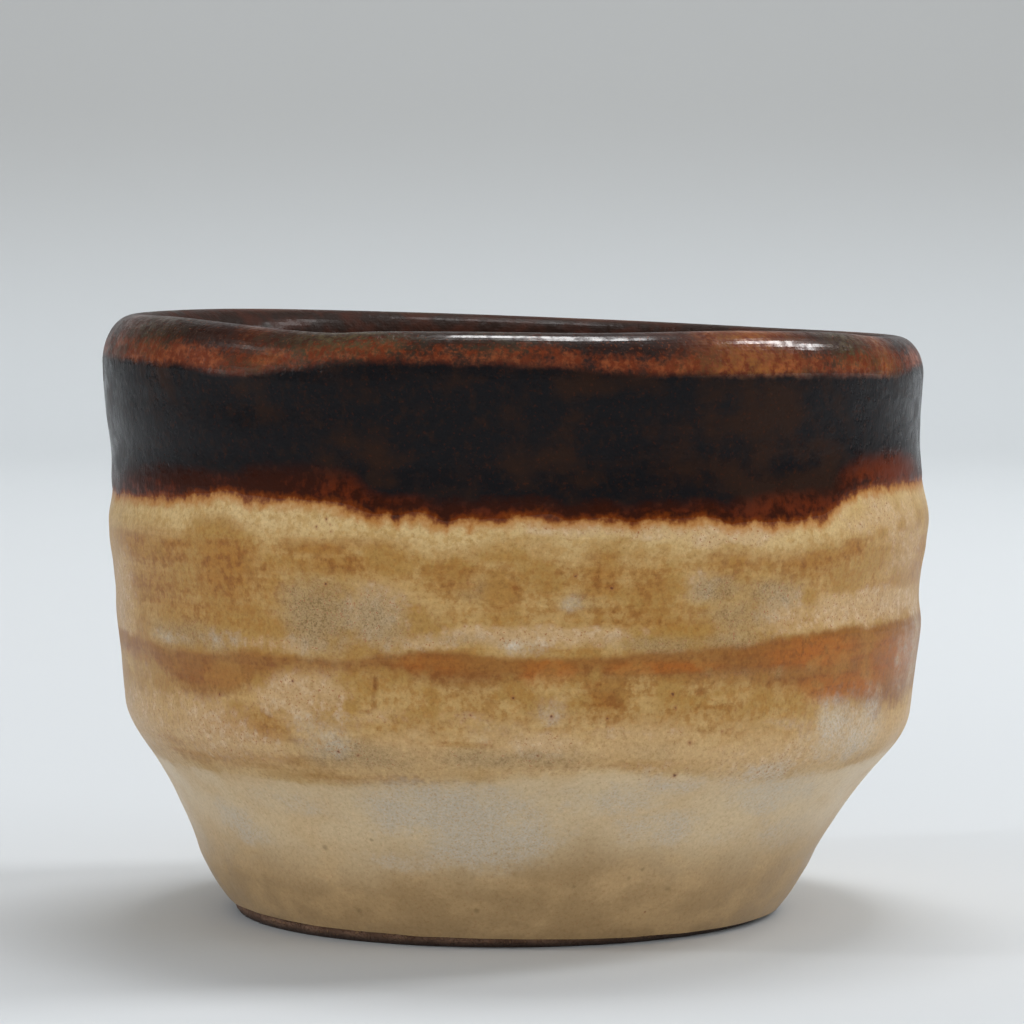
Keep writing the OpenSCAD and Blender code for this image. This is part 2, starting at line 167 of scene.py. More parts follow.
# --- clouds and washes in the glazes: turn angle, height, half turn, half height, strength ---
PATCHES = {
    # grey haze full of fine grains
    "haze": [
        (-117, 25.8, 6, 2.7, 1.1), (-109, 25.6, 5, 2.2, 0.9), (-103, 25.4, 4, 1.3, 0.45),
        (-141, 23.5, 11, 1.1, 0.8), (-63, 28.4, 4, 1, 0.95), (-54, 27.8, 5.7, 1.3, 0.8),
        (-59, 26.3, 6.4, 1.3, 0.75), (-71, 24.4, 6.5, 0.7, 0.85), (-60, 24.6, 7, 0.7, 0.8),
        (-56, 22, 10, 0.6, 0.4), (-112, 15.7, 9, 1.2, 0.85), (-91, 15.7, 13, 0.8, 0.7),
        (-72, 16.3, 7, 0.8, 0.4), (-82, 27.6, 2.6, 0.8, 0.4), (-99, 24.6, 8, 0.5, 0.5),
        (-96, 28.4, 2.5, 1, 0.3), (10, 27.5, 9, 2, 0.9), (38, 18, 12, 1.6, 0.7), (72, 28, 10, 1.8, 0.9),
        (104, 16, 14, 1.2, 0.8), (128, 26, 9, 2.4, 0.9), (160, 17, 9, 1.5, 0.7), (92, 24.6, 12, 0.7, 0.7),
    ],
    # pinkish cream where the glaze is thin
    "bloom": [
        (-122, 19.8, 5.4, 1.8, 1), (-117, 19.9, 4, 1.9, 0.8), (-109, 26.2, 5.5, 1.9, 0.7),
        (-123, 23.6, 8, 0.7, 0.8), (-107, 24.2, 9, 0.6, 0.7), (-87, 24.9, 14, 0.7, 0.85),
        (-52, 26.5, 4.2, 1.7, 0.85), (-30, 26.3, 17, 1.4, 0.95), (-87, 16.7, 4.2, 0.8, 1),
        (-73, 17.7, 6.4, 0.5, 0.5), (-73, 33, 7, 0.8, 0.85), (-61, 32.5, 6.5, 0.8, 1),
        (-30, 33.7, 12, 1.4, 0.6), (-138, 16.6, 9, 2.2, 0.75), (-129, 15.6, 5, 1.2, 0.6),
        (-165, 25.5, 7, 4.5, 0.8), (-163, 16.2, 13, 2.6, 0.7), (-65, 28.6, 2.4, 1.1, 0.6),
        (-84, 32.9, 7, 0.6, 0.75), (-23, 30.6, 8, 2.4, 0.5), (-149, 18.4, 8, 0.8, 0.5),
        (-104, 18.6, 10, 0.6, 0.35), (-52, 15, 9, 1.6, 0.6), (-70, 14.3, 8, 1, 0.5), (25, 21, 9, 1.5, 0.8),
        (60, 17, 7, 1.4, 0.9), (92, 26.5, 9, 1.2, 0.8), (142, 20, 8, 1.6, 0.9), (44, 25.9, 14, 0.8, 0.8),
        (118, 32.6, 9, 0.8, 0.8), (168, 25, 12, 0.9, 0.8),
    ],
    # milky blue-white clouds; those low on the base's right, near turn -62 and -46, also paint its lighter,
    # bluish right side, which is painted light
    "milk_and_painted_light": [
        (-36, 17.4, 9, 2.4, 0.85), (-16, 22.3, 10, 3.4, 0.5), (-70, 13.6, 8, 0.9, 0.5),
        (-51, 13.8, 8, 1.2, 0.5), (-86, 19.4, 2.6, 1, 0.5), (-93, 17.7, 3.6, 0.9, 0.35),
        (-89, 24.1, 3, 0.7, 0.5), (-106, 25.9, 2, 0.7, 0.2), (-134, 23.6, 6, 0.7, 0.5),
        (-146, 23.2, 6, 0.5, 0.4), (-54, 27, 5.5, 0.8, 0.15), (-117, 17.2, 4.5, 1.9, 0.5),
        (-100, 10.9, 14, 2.3, 0.95), (-94, 9, 12, 2.1, 1), (-109, 6.9, 9, 1, 0.35),
        (-143, 9.2, 6, 1.2, 0.7), (-138, 8, 6, 1, 0.7), (-62, 9.6, 12, 1.5, 0.6), (-76, 12.4, 8, 1.2, 0.6),
        (-46, 12, 10, 1.6, 0.75), (-36, 9, 9, 1.6, 0.5), (-52, 17.9, 8, 0.5, 0.3),
        (-128, 11.2, 8, 1.1, 0.4), (-155, 20, 5, 1.6, 0.3), (-83, 27.4, 1.6, 0.7, 0.3),
        (5, 9.5, 10, 1.6, 0.8), (42, 10.8, 8, 1.2, 0.7), (78, 8.6, 9, 1.8, 0.8), (112, 10.6, 8, 1.2, 0.7),
        (150, 9.4, 10, 1.5, 0.8), (85, 18, 5, 1.4, 0.7), (15, 25.8, 5, 0.7, 0.7),
    ],
    # ochre washed on with a broad brush
    "wash": [
        (-150, 29.9, 14, 2.1, 0.8), (-133, 29, 6, 2.8, 1), (-152, 26.8, 14, 1.8, 0.7),
        (-118, 31.2, 4.8, 0.65, 1), (-109, 31.5, 5, 0.5, 0.85), (-125, 28.3, 3, 1.5, 0.6),
        (-114, 29.7, 6, 0.9, 0.6), (-102, 32.5, 2.6, 1, 0.75), (-98, 31.4, 4, 0.9, 0.55),
        (-98, 29.2, 4.4, 1.4, 0.6), (-92, 28.3, 2.6, 1.7, 0.85), (-79, 29.5, 3, 2.1, 0.8),
        (-73, 28.3, 3.2, 2.3, 0.7), (-85, 29.5, 4, 1.2, 0.4), (-60, 30.9, 7, 0.9, 0.85),
        (-47, 30.2, 7.5, 1.2, 0.8), (-39, 31.1, 3.3, 0.7, 1), (-61, 29.5, 5, 0.5, 0.6),
        (-139, 25.4, 12, 0.8, 0.55), (-29, 28.6, 8, 1.4, 0.45), (-75, 26.9, 10, 0.3, 0.55),
        (-73, 26, 9, 0.25, 0.55), (-131, 17.2, 9, 1.4, 0.8), (-140, 14.4, 20, 1, 0.55),
        (-78, 20.3, 3, 1.4, 1), (-71, 20.7, 5, 0.6, 0.5), (-96, 19.7, 4, 1.1, 0.4),
        (-64, 19.5, 9, 0.5, 0.5), (-59, 17.8, 11, 0.3, 0.45), (-98, 16.7, 8, 0.3, 0.45),
        (-112, 13.6, 12, 0.5, 0.5), (-80, 15, 14, 0.5, 0.4), (-88, 31.6, 2, 0.8, 0.45),
        (-121, 33.4, 2.5, 0.5, 0.6), (-14, 29.5, 8, 1.8, 0.6), (4, 30, 14, 1.8, 0.8),
        (28, 28.5, 9, 2.6, 0.8), (58, 30.5, 13, 1.3, 0.9), (84, 29.3, 7, 2.2, 0.8),
        (112, 28.8, 12, 2.2, 0.8), (146, 30, 12, 1.8, 0.9), (172, 28.6, 10, 2.4, 0.9),
        (15, 17, 12, 1.2, 0.7), (85, 15.4, 16, 1, 0.7), (128, 17.2, 10, 1.2, 0.7), (170, 15.6, 12, 1, 0.8),
    ],
    # iron that ran down out of the stripe, and smears of it below
    "run": [
        (-109.4, 21, 0.5, 1.1, 0.8), (-109.8, 19.7, 0.35, 1, 0.7), (-111, 18.85, 1, 0.25, 0.65),
        (-78, 20.4, 2.4, 1.2, 0.6), (-29.6, 17.9, 1.6, 0.7, 0.8), (-65, 20.7, 1.4, 0.5, 0.65),
        (-71, 22, 8, 0.35, 0.6), (40, 20.3, 1, 1.6, 0.7), (97, 19.2, 0.8, 1.8, 0.7),
        (134, 20, 3.5, 1, 0.7), (-150, 20.2, 3, 0.8, 0.5),
    ],
    # thick iron in the stripe
    "iron": [
        (-47, 23.3, 11, 1.2, 1), (-24, 22.1, 14, 2.4, 0.75), (-40, 20.2, 11, 1.2, 1),
        (-86, 22.1, 4.5, 1.3, 1), (-101, 22.6, 6, 0.8, 0.7), (-71, 22.6, 8.5, 0.5, 0.9),
        (-159, 20.9, 8, 0.7, 0.8), (-138, 20.6, 10, 1, 0.4), (20, 23, 12, 1.5, 0.9),
        (62, 22.5, 14, 1.3, 0.8), (110, 22.4, 12, 1.2, 0.8), (150, 22.3, 10, 0.9, 0.9),
    ],
    # brown veil over the black band
    "veil": [
        (-58, 39.5, 14, 3.4, 0.8), (-50, 35.8, 10, 1.6, 1), (-103, 36.5, 8, 1.8, 0.5),
        (-84, 37, 9, 2.4, 0.5), (-125, 41.5, 8, 1.4, 0.4), (20, 39, 14, 3, 0.8), (90, 38, 16, 2.4, 0.7),
        (150, 40, 14, 3, 0.8),
    ],
    # rust that glows in the fringe
    "glow": [
        (-28, 37, 13, 1.1, 1.4), (-108.5, 36.2, 6.5, 1.9, 0.95), (-54, 34.6, 11, 1.1, 0.9),
        (-92, 33.9, 8, 0.6, 0.5), (-150, 34.6, 10, 0.8, 0.3), (30, 36, 10, 1.4, 0.8),
        (104, 35, 9, 1.2, 0.7), (165, 36, 10, 1.4, 0.8),
    ],
    # where the red-brown fringe over the dark glaze's edge is broad
    "fringe": [
        (-147, 35.2, 17, 1.9, 0.85), (-120, 35.8, 10, 2.3, 1), (-97, 34.4, 12, 1.4, 0.4),
        (-72, 34.2, 12, 1.2, 0.45), (-51, 34.4, 9, 2, 0.85), (-28, 37, 14, 2.4, 1),
        (-172, 35.5, 10, 2.4, 0.7), (10, 36, 18, 3, 0.9), (60, 35.5, 14, 2.6, 0.7),
        (100, 35, 12, 2.2, 0.8), (140, 35.5, 16, 3, 0.8),
    ],
}
# Tints on the lip: turn angle, half turn, strength
LIP_TINTS = {
    "gold": [
        (-57, 9, 1.2), (-29, 5, 0.9), (-127, 5, 0.4), (-160, 8, 0.3), (20, 10, 0.8), (75, 12, 0.9),
        (135, 12, 0.8),
    ],
    "dim": [
        (-101, 11, 1.0), (-78, 7, 0.45), (-168, 9, 0.6), (-45, 6, 0.4), (0, 9, 0.8), (60, 10, 0.7),
        (120, 10, 0.8),
    ],
    "olive": [
        (-113, 9, 1.0), (-38, 4.5, 0.8), (-150, 8, 0.5), (-92, 6, 0.4), (45, 12, 0.8), (105, 10, 0.8),
        (165, 8, 0.7),
    ],
}

# Iron specks that show singly: turn angle, height, radius
SPECKS = [
    (-82.5, 29.46, 0.19), (-77.7, 28.57, 0.17), (-69.1, 20.54, 0.19), (-85.6, 18.93, 0.19),
    (-78.1, 18.79, 0.15), (-112.4, 15.46, 0.18), (-115.4, 15.65, 0.17), (-115.9, 28.3, 0.17),
    (-116, 33.15, 0.19), (-115.1, 32.25, 0.17), (-66.1, 16.85, 0.2), (-67.2, 14.26, 0.22),
    (-96.4, 18.93, 0.16), (-90.8, 20.31, 0.18), (-122, 20.8, 0.16), (-87.3, 15.97, 0.14),
    (-68.6, 19.54, 0.18), (-59.4, 19.26, 0.14), (-61.2, 17.61, 0.17), (-117.3, 32.5, 0.16),
    (-115.3, 32.75, 0.14), (-135.5, 19.2, 0.15),
]
# Specks that lie deep in the pale glaze
SOFT_SPECKS = [
    (-122.4, 7.56, 0.3), (-113.1, 8.54, 0.2), (-66.1, 6.52, 0.22), (-68.2, 5.81, 0.22), (-59.7, 4.74, 0.3),
    (-117.9, 2.6, 0.3), (-94.9, 3.2, 0.3), (-78, 5.2, 0.2), (20, 6, 0.3), (64, 8, 0.25), (118, 5, 0.3),
    (151, 9, 0.3),
]

# --- fineness of the meshes ---
COLUMNS = 720
OUTER_STEP = 0.3
BACK_STEP = 1.6
INSIDE_STEP = 0.55
LIP_ROWS = 32
BOWL_ROWS = 56
BACK_LIP_ROWS = 12
BACK_BOWL_ROWS = 24
CLAY_STEP = 1.2
CLAY_LIP_ROWS = 16
CLAY_BOWL_ROWS = 28
FINISH_SEED = 7


def tone(red, green, blue):
    """A colour as it is seen, 0 to 255, as the linear colour that a shader takes."""
    linear = []
    for value in (red, green, blue):
        share = value / 255
        linear.append(share / 12.92 if share <= 0.04045 else ((share + 0.055) / 1.055) ** 2.4)
    return (*linear, 1.0)


# --- curves ---
def smooth(knots, at, low=0.0, high=0.0, column=1):
    """Value and slope, at a height or angle, of the smooth cubic curve through the knots."""
    table = np.array(knots, float)
    where, value = table[:, 0], table[:, column]
    slope = np.empty(len(where))
    slope[1:-1] = (value[2:] - value[:-2]) / (where[2:] - where[:-2])
    slope[0], slope[-1] = low, high
    i = np.clip(np.searchsorted(where, at, side="right") - 1, 0, len(where) - 2)
    span = where[i + 1] - where[i]
    t = np.clip((at - where[i]) / span, 0, 1)
    rise = value[i] - value[i + 1]
    curve = (
        (2 * t**3 - 3 * t**2 + 1) * value[i] + (t**3 - 2 * t**2 + t) * span * slope[i]
        + (3 * t**2 - 2 * t**3) * value[i + 1] + (t**3 - t**2) * span * slope[i + 1]
    )
    tilt = 6 * (t**2 - t) * rise / span
    tilt = tilt + (3 * t**2 - 4 * t + 1) * slope[i] + (3 * t**2 - 2 * t) * slope[i + 1]
    return curve, tilt


def all_round(knots, turn):
    """The smooth curve through knots that run once round the cup."""
    before = [(angle - 360, value) for angle, value in knots]
    after = [(angle + 360, value) for angle, value in knots]
    return smooth(before + list(knots) + after, turn)[0]


def away(turn, centre):
    """Degrees from a turn angle, the short way round."""
    return (turn - centre + 180) % 360 - 180


def ragged(turn, size, seed, low=24, high=230):
    """Small seeded unevenness of a line round the cup, with the given root mean square."""
    draw = np.random.default_rng(seed)
    total = np.zeros_like(turn)
    for waves in range(low, high, 7):
        total += np.cos(np.radians(turn * waves + draw.uniform(0, 360))) / math.sqrt(waves)
    return total * size / total.std()


# --- the form, all round the cup ---
TURN = np.linspace(-180, 180, COLUMNS, endpoint=False)
COS = np.cos(np.radians(TURN))

crest_z = all_round(CREST, TURN)
lip_h = LIP_H - LIP_H_SWING * COS
lip_w = LIP_W + LIP_W_SWING - LIP_W_SWING * COS
lip_foot = crest_z - lip_h
lip_mid_r = CUP_R - lip_w / 2

dark_line = all_round(DARK_LINE, TURN) + ragged(TURN, 0.04, FINISH_SEED, high=110)
for run_turn, run_length, run_half in DARK_RUNS:
    dark_line -= run_length * np.exp(-((away(TURN, run_turn) / run_half) ** 2))
lip_line = all_round(LIP_LINE, TURN) + ragged(TURN, 0.05, FINISH_SEED + 1, low=10, high=90)
stripe_top = all_round(STRIPE_TOP, TURN) + ragged(TURN, 0.06, FINISH_SEED + 2)
stripe_foot = all_round(STRIPE_FOOT, TURN) + ragged(TURN, 0.12, FINISH_SEED + 3)
straw_line = all_round(STRAW_LINE, TURN) + ragged(TURN, 0.06, FINISH_SEED + 4)
glaze_line = GLAZE_LINE_Z + ragged(TURN, 0.02, FINISH_SEED + 5, low=5, high=40)


def soften(value, low, high):
    """0 below low, 1 above high, and smooth between."""
    t = np.clip((value - low) / (high - low), 0, 1)
    return t * t * (3 - 2 * t)


def thumb_press(height):
    """How far the lip stands out under the thumb's mark."""
    over = (height - lip_foot - 1.2) / 0.75
    return -THUMB_OUT * over * np.exp(0.5 - 0.5 * over**2 - (away(TURN, THUMB_TURN) / THUMB_HALF) ** 2)


def outside(height, depth=0.0):
    """Radius and height on the outside wall, at a depth under the finished surface."""
    radius, slope = smooth(OUTSIDE, height, GLAZE_LINE_SLOPE, 0)
    reach = np.hypot(1, slope)
    off = (away(TURN, DENT_TURN) / DENT_HALF) ** 2
    dent = DENT_DEPTH * np.exp(-off - ((height - DENT_Z) / DENT_HALF_H) ** 2)
    return radius - dent + thumb_press(height) - depth / reach, height + depth * slope / reach


def inside(height, depth=0.0):
    """Radius and height on the wall of the well, at a depth under the finished surface."""
    radius, slope = smooth(INSIDE, height, 0, 0)
    reach = np.hypot(1, slope)
    radius = radius - (lip_w - LIP_W) * soften(height, 36, lip_foot)
    return radius + depth / reach, height - depth * slope / reach


def on_lip(angle, depth=0.0):
    """Radius and height on the lip's half ellipse, from 0 degrees outside to 180 inside."""
    radius = lip_mid_r + (lip_w / 2 - depth) * math.cos(math.radians(angle))
    height = lip_foot + (lip_h - depth) * math.sin(math.radians(angle))
    return radius + thumb_press(height) * max(0, math.cos(math.radians(angle))) ** 0.3, height


def level_ring(radius, height):
    """A ring all round at one radius and one height."""
    return np.full(COLUMNS, radius), np.full(COLUMNS, height)


def in_bowl(angle, depth=0.0):
    """Radius and height in the bowl, from 0 degrees at the wall of the well to 90 on the axis."""
    across, down = math.cos(math.radians(angle)), math.sin(math.radians(angle))
    bowl_h = BOWL_TOP_Z - FLOOR_Z
    side = bowl_h * across ** (2 - BOWL_FORM)
    drop = WELL_R * down ** (2 - BOWL_FORM)
    reach = math.hypot(side, drop)
    radius = WELL_R * across**BOWL_FORM + depth * side / reach
    height = BOWL_TOP_Z - bowl_h * down**BOWL_FORM - depth * drop / reach
    return level_ring(radius, height)


def between(low, high, step):
    """Heights from one line round the cup to another, about a step apart."""
    low, high = np.broadcast_to(low, COLUMNS), np.broadcast_to(high, COLUMNS)
    rows = max(2, math.ceil(np.abs(high - low).mean() / step))
    return [low + (high - low) * i / rows for i in range(rows + 1)]


def wall(low, high, depth, step):
    return [outside(height, depth) for height in between(low, high, step)]


def rounded_lip(depth, rows):
    return [on_lip(180 * i / rows, depth) for i in range(rows + 1)]


def well(depth, step, bowl_rows):
    """The inside wall from the lip down, then the bowl as far as the last row before the axis."""
    rows = [inside(height, depth) for height in between(lip_foot, BOWL_TOP_Z, step)]
    return rows + [in_bowl(90 * i / bowl_rows, depth) for i in range(1, bowl_rows)]


# --- marks that the glazes leave on the surface ---
def patch_strength(patches, turn, height):
    """Strength, 0 to 1, of soft-edged patches at points of the surface."""
    total = np.zeros_like(turn)
    for centre, middle, half_turn, half_height, strength in patches:
        across = np.abs(away(turn, centre) / half_turn) ** 2.4
        up = np.abs((height - middle) / half_height) ** 2.4
        total = np.maximum(total, strength * np.exp(-0.7 * (across + up) ** 1.2))
    return total


def tint_strength(tints, turn):
    total = np.zeros_like(turn)
    for centre, half_turn, strength in tints:
        total = np.maximum(total, strength * np.exp(-((away(turn, centre) / half_turn) ** 2)))
    return total


def marks(turn, radius, height):
    """What the materials read at each point: millimetres over each line, and strengths of patches."""
    column = np.tile(np.arange(COLUMNS), len(turn) // COLUMNS)
    found = {
        "inward": soften(lip_mid_r[column] - radius, -0.6, 1.2),
        "over_dark_line": height - dark_line[column],
        "over_lip_line": height - lip_line[column],
        "over_stripe_top": height - stripe_top[column],
        "over_stripe_foot": height - stripe_foot[column],
        "over_straw_line": height - straw_line[column],
    }
    found["stain"] = patch_strength(STAINS, turn, height)
    for name, patches in PATCHES.items():
        found[name] = patch_strength(patches, turn, height)
    for name, tints in LIP_TINTS.items():
        found[name] = tint_strength(tints, turn)
    return found


# --- flat skins ---
def drifted(radius, height):
    """Turn angle and radius once the wall has drifted sideways from the axis."""
    x = radius * COS + smooth(DRIFT, height)[0]
    y = radius * np.sin(np.radians(TURN)) + smooth(DRIFT, height, column=2)[0]
    return np.arctan2(y, x), np.hypot(x, y)


def skin(name, rings, poles=(None, None), edges=()):
    """A closed solid laid out flat: x is the turn in radians, y the radius and z the height.

    rings go once round the cross-section. Without poles the last ring joins the first. edges are the
    rings after which a narrow end strip follows, which is shaded flat."""
    points = []
    for radius, height in rings:
        turned, drifted_r = drifted(radius, height)
        points.append(np.column_stack([turned, drifted_r * MM, height * MM]))
    turns = np.tile(TURN, len(rings))
    radii = np.concatenate([radius for radius, _ in rings])
    heights = np.concatenate([height for _, height in rings])
    count = len(rings)
    faces = []
    column = np.arange(COLUMNS)
    following = (column + 1) % COLUMNS
    strips = [(i, (i + 1) % count) for i in range(count if poles == (None, None) else count - 1)]
    for low, high in strips:
        low, high = low * COLUMNS, high * COLUMNS
        faces.append(np.column_stack([low + column, low + following, high + following, high + column]))
    quads = np.concatenate(faces).tolist()
    coords = np.concatenate(points)
    fans = []
    for pole, ring, flip in ((poles[0], 0, True), (poles[1], count - 1, False)):
        if pole is None:
            continue
        x = smooth(DRIFT, pole)[0]
        y = smooth(DRIFT, pole, column=2)[0]
        coords = np.vstack([coords, [math.atan2(y, x), math.hypot(x, y) * MM, pole * MM]])
        tip = len(coords) - 1
        for here, there in zip((ring * COLUMNS + column).tolist(), (ring * COLUMNS + following).tolist()):
            fans.append([there, here, tip] if flip else [here, there, tip])
    mesh = bpy.data.meshes.new(name)
    mesh.from_pydata(coords.tolist(), [], quads + fans)
    flat = np.zeros(len(mesh.polygons), bool)
    for ring in edges:
        flat[ring * COLUMNS:(ring + 1) * COLUMNS] = True
    mesh.attributes.new("sharp_face", "BOOLEAN", "FACE").data.foreach_set("value", flat)
    body = count * COLUMNS
    for mark, values in marks(turns, radii, heights).items():
        values = np.append(values, np.zeros(len(coords) - body))
        mesh.attributes.new(mark, "FLOAT", "POINT").data.foreach_set("value", values.astype(np.float32))
    return mesh


def coat(name, outer, inner):
    """A coat of glaze between its finished face and the clay, both listed in the same direction."""
    rings = outer + inner[::-1]
    return skin(name, rings, edges=(len(outer) - 1, len(rings) - 1))


# --- writing node trees ---
def operator(operation, swapped=False):
    """An arithmetic sign between node outputs, which adds a Math node."""
    def act(first, other):
        pair = (other, first) if swapped else (first, other)
        return first.recipe.math(operation, *pair)
    return act


class Value:
    """An output of a node, which takes plain arithmetic with numbers and other outputs."""

    def __init__(self, recipe, socket):
        self.recipe, self.socket = recipe, socket

    __add__, __radd__ = operator("ADD"), operator("ADD", swapped=True)
    __sub__, __rsub__ = operator("SUBTRACT"), operator("SUBTRACT", swapped=True)
    __truediv__, __rtruediv__ = operator("DIVIDE"), operator("DIVIDE", swapped=True)
    __mul__ = operator("MULTIPLY")


class Recipe:
    """Adds the nodes of one tree, and feeds the results to its last node."""

    def __init__(self, tree, end):
        self.tree, self.end = tree, tree.nodes.new(end)

    def feed(self, socket, value):
        if isinstance(value, Value):
            self.tree.links.new(value.socket, socket)
        else:
            socket.default_value = value

    def give(self, results):
        """Feeds the last node's inputs by name: a constant is set on the socket itself."""
        for name, value in results.items():
            self.feed(self.end.inputs[name], value)
        return self.tree

    def outputs(self, kind, inputs=None, **settings):
        """Adds a node and hands back its outputs in their order."""
        made = self.tree.nodes.new(kind)
        for name, value in settings.items():
            setattr(made, name, value)
        for name, value in (inputs or {}).items():
            self.feed(made.inputs[name], value)
        return [Value(self, socket) for socket in made.outputs]

    def add(self, kind, inputs=None, out=0, **settings):
        return self.outputs(kind, inputs, **settings)[out]

    def place(self, group, inputs=None):
        """Places a node group and hands back its outputs by name."""
        made = self.outputs("ShaderNodeGroup", inputs, node_tree=group)
        return {value.socket.name: value for value in made}

    def math(self, operation, first, second=0.0, clamp=False):
        inputs = {0: first, 1: second}
        return self.add("ShaderNodeMath", inputs, operation=operation, use_clamp=clamp)

    def vector(self, operation, first, second):
        return self.add("ShaderNodeVectorMath", {0: first, 1: second}, operation=operation)

    def scaled(self, first, scale):
        return self.add("ShaderNodeVectorMath", {0: first, "Scale": scale}, operation="SCALE")

    def join(self, x, y, z):
        return self.add("ShaderNodeCombineXYZ", {0: x, 1: y, 2: z})

    def split(self, spot):
        return self.outputs("ShaderNodeSeparateXYZ", {0: spot})

    def here(self):
        """The place on the piece, in its own coordinates."""
        return self.add("ShaderNodeTexCoord", out=3)

    def mark(self, name):
        return self.add("ShaderNodeAttribute", out=2, attribute_name=name)

    def fade(self, value, low, high, start=0.0, end=1.0):
        """Goes smoothly from start to end as the value goes from low to high."""
        inputs = {"Value": value, "From Min": low, "From Max": high, "To Min": start, "To Max": end}
        return self.add("ShaderNodeMapRange", inputs, interpolation_type="SMOOTHSTEP")

    def tint(self, share, first, second, way="MIX"):
        """The first colour with a share of the second."""
        inputs = {0: share, 6: first, 7: second}
        return self.add("ShaderNodeMix", inputs, out=2, data_type="RGBA", blend_type=way)

    def laid(self, colour, *layers):
        """The colour with others laid over it. A layer has its colour and its share, or a value that
        brings the share up from 0 as it goes from one number to another, and the most it comes to."""
        for over, share, *limits in layers:
            if limits:
                low, high, *most = limits
                share = self.fade(share, low, high, 0.0, *most)
            colour = self.tint(share, colour, over)
        return colour

    def noise(self, size, seed, detail=3.0, rough=0.55, stretch=1.0):
        """Soft noise, 0 to 1, with features of a size in mm, drawn out round the cup by stretch."""
        scale = 1 / (size * MM)
        place = (seed * 3.7, seed * 5.3, seed * 2.9)
        inputs = {0: self.here(), 1: (scale / stretch, scale / stretch, scale), 2: place}
        spot = self.add("ShaderNodeVectorMath", inputs, operation="MULTIPLY_ADD")
        return self.noise_at(spot, 1.0, detail, Roughness=rough)

    def noise_at(self, spot, scale, detail, **inputs):
        return self.add("ShaderNodeTexNoise", {"Vector": spot, "Scale": scale, "Detail": detail, **inputs})

    def seeded_noise(self, spot, seed, detail):
        inputs = {"Vector": spot, "W": seed, "Scale": 1.0, "Detail": detail}
        return self.add("ShaderNodeTexNoise", inputs, noise_dimensions="4D")

    def swing(self, value, amount):
        """How far the noise is from its middle, times an amount."""
        return (value - 0.5) * amount

    def relief(self, height, depth):
        """The normal over bumps of a depth in mm."""
        return self.add("ShaderNodeBump", {"Height": height, "Distance": depth * MM, "Strength": 1.0})


SOCKET_KINDS = {float: "Float", tuple: "Color"}


def new_tree(name, takes, gives, kind="ShaderNodeTree"):
    """A new node group's recipe, and its inputs by name.

    takes has each input's default value, or its kind where it has none, and gives each output's kind."""
    tree = bpy.data.node_groups.new(name, kind)
    for label, value in takes.items():
        socket_kind = value if isinstance(value, str) else SOCKET_KINDS[type(value)]
        socket = tree.interface.new_socket(label, in_out="INPUT", socket_type="NodeSocket" + socket_kind)
        if not isinstance(value, str):
            socket.default_value = value
    for label, socket_kind in gives.items():
        tree.interface.new_socket(label, in_out="OUTPUT", socket_type="NodeSocket" + socket_kind)
    r = Recipe(tree, "NodeGroupOutput")
    return r, {value.socket.name: value for value in r.outputs("NodeGroupInput")}


# --- the potter's wheel, in Geometry Nodes ---
def potters_wheel():
    """Turns a flat skin about the leaning axis and leaves finger rings and dimples in it."""
    takes = {
        "Skin": "Geometry",
        "Lean": math.radians(LEAN),
        "Foot X": FOOT_X * MM,
        "Level To": GLAZE_LINE_Z * MM,
        "Ring Depth": 0.06 * MM,
        "Ring Spacing": 1.7 * MM,
        "Dimple Depth": 0.12 * MM,
        "Dimple Size": 6 * MM,
        "Marks From": 14 * MM,
        "Seed": float(FINISH_SEED),
        "Glaze": "Material",
    }
    r, taken = new_tree("potters_wheel", takes, {"Piece": "Geometry"}, "GeometryNodeTree")
    turn, radius, height = r.split(r.add("GeometryNodeInputPosition"))
    cos, sin = r.math("COSINE", turn), r.math("SINE", turn)
    on_rim = r.join(cos, sin, 0.0)

    slow = r.vector("MULTIPLY", on_rim, (0.35, 0.35, 0.0))
    ring_spot = r.vector("ADD", slow, r.join(0.0, 0.0, height / taken["Ring Spacing"]))
    rings = r.swing(r.seeded_noise(ring_spot, taken["Seed"], 1.0), taken["Ring Depth"])
    around = r.scaled(on_rim, CUP_R * MM / taken["Dimple Size"])
    dimple_spot = r.vector("ADD", around, r.join(0.0, 0.0, height / taken["Dimple Size"]))
    dimples = r.swing(r.seeded_noise(dimple_spot, taken["Seed"], 2.0), taken["Dimple Depth"])
    held = r.math("DIVIDE", radius, taken["Marks From"], clamp=True)
    radius = radius + (rings + dimples) * held

    x, y = radius * cos, radius * sin
    lean = taken["Lean"] * r.fade(height, 0.0, taken["Level To"])
    lean_cos, lean_sin = r.math("COSINE", lean), r.math("SINE", lean)
    over = x * lean_cos + height * lean_sin
    raised = height * lean_cos - x * lean_sin
    spot = r.join(over + taken["Foot X"], y, raised)
    placed = r.add("GeometryNodeSetPosition", {"Geometry": taken["Skin"], "Position": spot})
    whole = r.add("GeometryNodeRealizeInstances", {"Geometry": placed})
    glazed = r.add("GeometryNodeSetMaterial", {"Geometry": whole, "Material": taken["Glaze"]})
    return r.give({"Piece": glazed})


def turned(wheel, name, mesh, material):
    """Puts a flat skin on the wheel and keeps the finished mesh as a piece."""
    work = bpy.data.objects.new(name + "_flat", mesh)
    bpy.context.scene.collection.objects.link(work)
    spin = work.modifiers.new("wheel", "NODES")
    spin.node_group = wheel
    spin[wheel.interface.items_tree["Glaze"].identifier] = material
    seen = work.evaluated_get(bpy.context.evaluated_depsgraph_get())
    finished = bpy.data.meshes.new_from_object(seen)
    finished.name = name
    bpy.data.objects.remove(work)
    bpy.data.meshes.remove(mesh)
    piece = bpy.data.objects.new(name, finished)
    bpy.context.scene.collection.objects.link(piece)
    return piece


